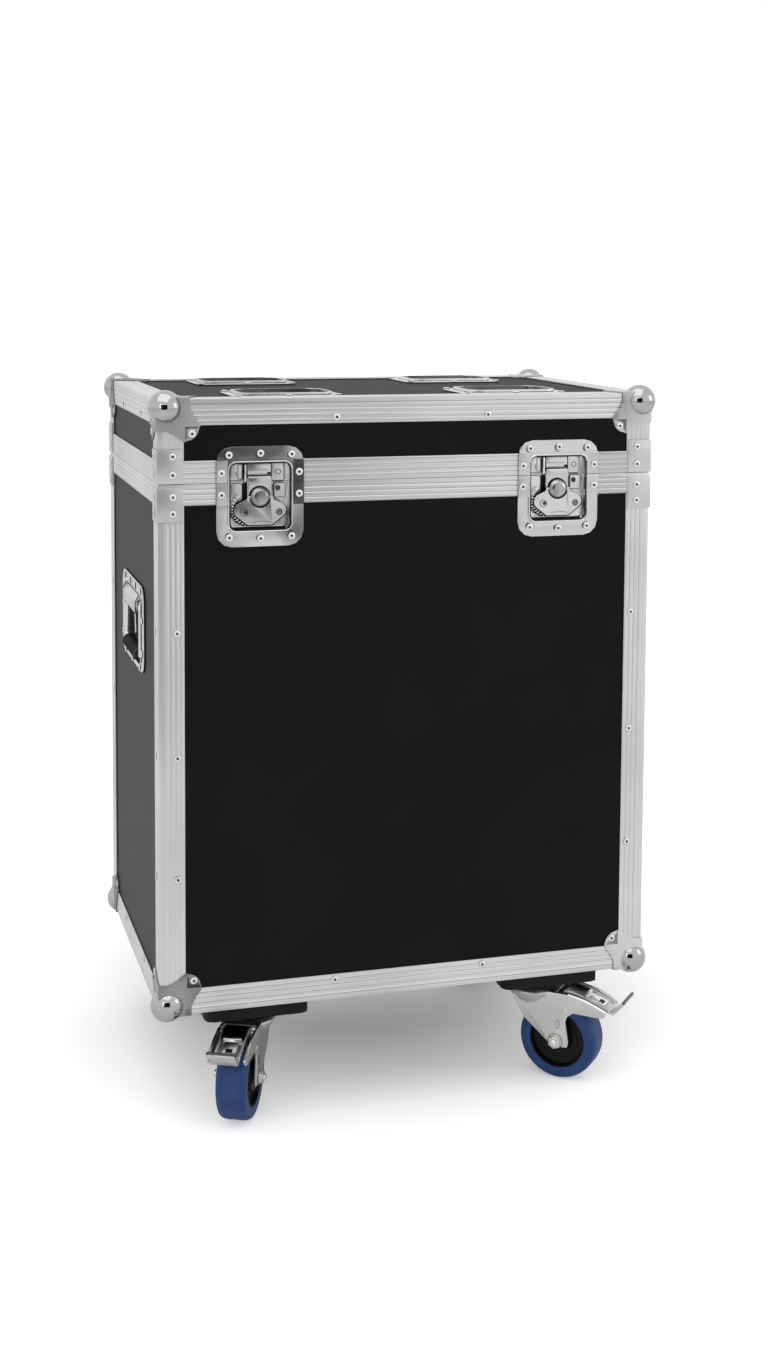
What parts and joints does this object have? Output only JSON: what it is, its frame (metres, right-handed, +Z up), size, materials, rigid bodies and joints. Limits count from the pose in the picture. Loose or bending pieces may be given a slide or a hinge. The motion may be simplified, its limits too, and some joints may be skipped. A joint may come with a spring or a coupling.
{
  "type": "moving head case",
  "caption": "Deep flight case for a moving head light: lift-off lid, recessed butterfly latches, sprung side handles, ball corners, stacking dishes and braked swivel castors.",
  "frame": {"origin": "on the floor under the middle of the case", "axes": "+X to the right seen from the front, +Y to the back, +Z up"},
  "size_m": [0.619, 0.516, 0.8665],
  "materials": {
    "panel_laminate": "satin black phenolic laminate on plywood",
    "aluminium_extrusion": "ribbed natural anodised",
    "zinc_steel": "bright zinc plated pressing",
    "chrome_bar": "bright",
    "blue_tyre": "blue elastic rubber on a black hub",
    "foam": "charcoal foam"
  },
  "bodies": {
    "base": {"base_bottom_panel": "panel_laminate", "base_front_panel": "panel_laminate", "base_rear_panel": "panel_laminate", "base_left_panel": "panel_laminate", "base_right_panel": "panel_laminate", "base_foam_floor": "foam", "base_edge_frame": "aluminium_extrusion", "base_rim_profile": "aluminium_extrusion", "base_front_left_ball_corner": "zinc_steel", "front_left_latch_dish": "zinc_steel", "base_front_right_ball_corner": "zinc_steel", "front_right_latch_dish": "zinc_steel", "base_rear_left_ball_corner": "zinc_steel", "rear_left_latch_dish": "zinc_steel", "base_rear_right_ball_corner": "zinc_steel", "rear_right_latch_dish": "zinc_steel", "left_handle_dish": "zinc_steel", "right_handle_dish": "zinc_steel"},
    "lid": {"lid_top_panel": "panel_laminate", "lid_wall_panels": "panel_laminate", "lid_edge_frame": "aluminium_extrusion", "lid_rim_profile": "aluminium_extrusion", "lid_front_left_ball_corner": "zinc_steel", "front_left_stacking_dish": "zinc_steel", "front_left_latch_keeper": "zinc_steel", "lid_front_right_ball_corner": "zinc_steel", "front_right_stacking_dish": "zinc_steel", "front_right_latch_keeper": "zinc_steel", "lid_rear_left_ball_corner": "zinc_steel", "rear_left_stacking_dish": "zinc_steel", "rear_left_latch_keeper": "zinc_steel", "lid_rear_right_ball_corner": "zinc_steel", "rear_right_stacking_dish": "zinc_steel", "rear_right_latch_keeper": "zinc_steel"},
    "front_left_latch_rotor": {"front_left_latch_rotor": "zinc_steel"},
    "front_left_latch_hook": {"front_left_latch_hook": "zinc_steel"},
    "front_left_latch_wing": {"front_left_latch_wing": "zinc_steel"},
    "front_right_latch_rotor": {"front_right_latch_rotor": "zinc_steel"},
    "front_right_latch_hook": {"front_right_latch_hook": "zinc_steel"},
    "front_right_latch_wing": {"front_right_latch_wing": "zinc_steel"},
    "rear_left_latch_rotor": {"rear_left_latch_rotor": "zinc_steel"},
    "rear_left_latch_hook": {"rear_left_latch_hook": "zinc_steel"},
    "rear_left_latch_wing": {"rear_left_latch_wing": "zinc_steel"},
    "rear_right_latch_rotor": {"rear_right_latch_rotor": "zinc_steel"},
    "rear_right_latch_hook": {"rear_right_latch_hook": "zinc_steel"},
    "rear_right_latch_wing": {"rear_right_latch_wing": "zinc_steel"},
    "left_handle_bail": {"left_handle_bail": "chrome_bar"},
    "right_handle_bail": {"right_handle_bail": "chrome_bar"},
    "front_left_castor_fork": {"front_left_castor_fork": "zinc_steel"},
    "front_left_castor_wheel": {"front_left_castor_wheel": "blue_tyre"},
    "front_left_brake_pedal": {"front_left_brake_pedal": "zinc_steel"},
    "front_right_castor_fork": {"front_right_castor_fork": "zinc_steel"},
    "front_right_castor_wheel": {"front_right_castor_wheel": "blue_tyre"},
    "front_right_brake_pedal": {"front_right_brake_pedal": "zinc_steel"},
    "rear_left_castor_fork": {"rear_left_castor_fork": "zinc_steel"},
    "rear_left_castor_wheel": {"rear_left_castor_wheel": "blue_tyre"},
    "rear_left_brake_pedal": {"rear_left_brake_pedal": "zinc_steel"},
    "rear_right_castor_fork": {"rear_right_castor_fork": "zinc_steel"},
    "rear_right_castor_wheel": {"rear_right_castor_wheel": "blue_tyre"},
    "rear_right_brake_pedal": {"rear_right_brake_pedal": "zinc_steel"}
  },
  "joints": [
    {"name": "lid_lift", "type": "slide", "parent": "base", "child": "lid", "axis": [0, 0, 1], "range_m": [0, 0.25]},
    {"name": "front_left_latch_turn", "type": "hinge", "parent": "base", "child": "front_left_latch_rotor", "pos_m": [-0.182, -0.2, 0.7435], "axis": [0, -1, 0], "range_deg": [0, 180]},
    {"name": "front_left_latch_draw", "type": "slide", "parent": "base", "child": "front_left_latch_hook", "axis": [0, 0, 1], "range_m": [0, 0.008]},
    {"name": "front_left_latch_wing_flip", "type": "hinge", "parent": "front_left_latch_rotor", "child": "front_left_latch_wing", "pos_m": [-0.182, -0.1985, 0.7435], "axis": [-1, 0, 0], "range_deg": [0, 90]},
    {"name": "front_right_latch_turn", "type": "hinge", "parent": "base", "child": "front_right_latch_rotor", "pos_m": [0.182, -0.2, 0.7435], "axis": [0, -1, 0], "range_deg": [0, 180]},
    {"name": "front_right_latch_draw", "type": "slide", "parent": "base", "child": "front_right_latch_hook", "axis": [0, 0, 1], "range_m": [0, 0.008]},
    {"name": "front_right_latch_wing_flip", "type": "hinge", "parent": "front_right_latch_rotor", "child": "front_right_latch_wing", "pos_m": [0.182, -0.1985, 0.7435], "axis": [-1, 0, 0], "range_deg": [0, 90]},
    {"name": "rear_left_latch_turn", "type": "hinge", "parent": "base", "child": "rear_left_latch_rotor", "pos_m": [-0.182, 0.2, 0.7435], "axis": [0, 1, 0], "range_deg": [0, 180]},
    {"name": "rear_left_latch_draw", "type": "slide", "parent": "base", "child": "rear_left_latch_hook", "axis": [0, 0, 1], "range_m": [0, 0.008]},
    {"name": "rear_left_latch_wing_flip", "type": "hinge", "parent": "rear_left_latch_rotor", "child": "rear_left_latch_wing", "pos_m": [-0.182, 0.1985, 0.7435], "axis": [1, 0, 0], "range_deg": [0, 90]},
    {"name": "rear_right_latch_turn", "type": "hinge", "parent": "base", "child": "rear_right_latch_rotor", "pos_m": [0.182, 0.2, 0.7435], "axis": [0, 1, 0], "range_deg": [0, 180]},
    {"name": "rear_right_latch_draw", "type": "slide", "parent": "base", "child": "rear_right_latch_hook", "axis": [0, 0, 1], "range_m": [0, 0.008]},
    {"name": "rear_right_latch_wing_flip", "type": "hinge", "parent": "rear_right_latch_rotor", "child": "rear_right_latch_wing", "pos_m": [0.182, 0.1985, 0.7435], "axis": [1, 0, 0], "range_deg": [0, 90]},
    {"name": "left_handle_swing", "type": "hinge", "parent": "base", "child": "left_handle_bail", "pos_m": [-0.298, 0, 0.598], "axis": [0, 1, 0], "range_deg": [0, 90], "stiffness_Nm_per_rad": 0.2, "springref_deg": -17.19},
    {"name": "right_handle_swing", "type": "hinge", "parent": "base", "child": "right_handle_bail", "pos_m": [0.298, 0, 0.598], "axis": [0, -1, 0], "range_deg": [0, 90], "stiffness_Nm_per_rad": 0.2, "springref_deg": -17.19},
    {"name": "front_left_castor_swivel", "type": "hinge", "parent": "base", "child": "front_left_castor_fork", "pos_m": [-0.184, -0.138, 0.123], "axis": [0, 0, 1], "continuous": true},
    {"name": "front_left_castor_roll", "type": "hinge", "parent": "front_left_castor_fork", "child": "front_left_castor_wheel", "pos_m": [-0.20022, -0.17125, 0.05], "axis": [0.8988, -0.4384, 0], "continuous": true},
    {"name": "front_left_brake_press", "type": "hinge", "parent": "front_left_castor_fork", "child": "front_left_brake_pedal", "pos_m": [-0.20548, -0.18204, 0.108], "axis": [0.8988, -0.4384, 0], "range_deg": [0, 8]},
    {"name": "front_right_castor_swivel", "type": "hinge", "parent": "base", "child": "front_right_castor_fork", "pos_m": [0.184, -0.138, 0.123], "axis": [0, 0, 1], "continuous": true},
    {"name": "front_right_castor_roll", "type": "hinge", "parent": "front_right_castor_fork", "child": "front_right_castor_wheel", "pos_m": [0.2115, -0.16276, 0.05], "axis": [0.6691, 0.7431, 0], "continuous": true},
    {"name": "front_right_brake_press", "type": "hinge", "parent": "front_right_castor_fork", "child": "front_right_brake_pedal", "pos_m": [0.22041, -0.17079, 0.108], "axis": [0.6691, 0.7431, 0], "range_deg": [0, 8]},
    {"name": "rear_left_castor_swivel", "type": "hinge", "parent": "base", "child": "rear_left_castor_fork", "pos_m": [-0.184, 0.138, 0.123], "axis": [0, 0, 1], "continuous": true},
    {"name": "rear_left_castor_roll", "type": "hinge", "parent": "rear_left_castor_fork", "child": "rear_left_castor_wheel", "pos_m": [-0.20022, 0.17125, 0.05], "axis": [-0.8988, -0.4384, 0], "continuous": true},
    {"name": "rear_left_brake_press", "type": "hinge", "parent": "rear_left_castor_fork", "child": "rear_left_brake_pedal", "pos_m": [-0.20548, 0.18204, 0.108], "axis": [-0.8988, -0.4384, 0], "range_deg": [0, 8]},
    {"name": "rear_right_castor_swivel", "type": "hinge", "parent": "base", "child": "rear_right_castor_fork", "pos_m": [0.184, 0.138, 0.123], "axis": [0, 0, 1], "continuous": true},
    {"name": "rear_right_castor_roll", "type": "hinge", "parent": "rear_right_castor_fork", "child": "rear_right_castor_wheel", "pos_m": [0.2115, 0.16276, 0.05], "axis": [-0.6691, 0.7431, 0], "continuous": true},
    {"name": "rear_right_brake_press", "type": "hinge", "parent": "rear_right_castor_fork", "child": "rear_right_brake_pedal", "pos_m": [0.22041, 0.17079, 0.108], "axis": [-0.6691, 0.7431, 0], "range_deg": [0, 8]}
  ],
  "couplings": [
    {"joint": "front_left_latch_draw", "follows": "front_left_latch_turn", "m_per_rad": 0.002546},
    {"joint": "front_right_latch_draw", "follows": "front_right_latch_turn", "m_per_rad": 0.002546},
    {"joint": "rear_left_latch_draw", "follows": "rear_left_latch_turn", "m_per_rad": 0.002546},
    {"joint": "rear_right_latch_draw", "follows": "rear_right_latch_turn", "m_per_rad": 0.002546}
  ]
}
